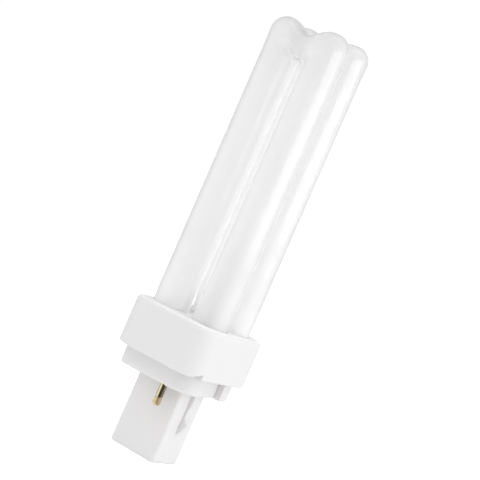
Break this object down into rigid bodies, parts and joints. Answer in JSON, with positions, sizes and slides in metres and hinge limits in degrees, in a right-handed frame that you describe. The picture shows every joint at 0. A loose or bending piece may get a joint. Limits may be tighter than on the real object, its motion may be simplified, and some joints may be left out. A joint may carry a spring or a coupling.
{
  "type": "compact fluorescent bulb",
  "caption": "Plug-in compact fluorescent bulb: parallel U-shaped glass tubes rising from a squared plastic collar, with a keyed rectangular post and brass contact pins below it.",
  "frame": {"origin": "middle of the post's flat end, on the lamp's axis", "axes": "+Z along the lamp from the post to the glass tops; X across each U of the glass; Y from one U to the other"},
  "size_m": [0.0328, 0.0358, 0.14],
  "materials": {
    "coated_glass": "glossy, white inside coating, not see-through",
    "white_plastic": "satin moulded",
    "cement": "matt",
    "brass": "bright",
    "clear_glass": "clear",
    "capacitor_case": "dipped",
    "lead_wire": "tinned"
  },
  "bodies": {
    "root": {"discharge_tube": "coated_glass", "collar": "white_plastic", "base_cap": "white_plastic", "basing_cement": "cement", "contact_pin_front": "brass", "contact_pin_back": "brass", "starter_bulb": "clear_glass", "suppressor_capacitor": "capacitor_case", "lead_pin_front": "lead_wire", "lead_pin_back": "lead_wire", "lead_starter_front": "lead_wire", "lead_starter_back": "lead_wire"}
  },
  "joints": []
}
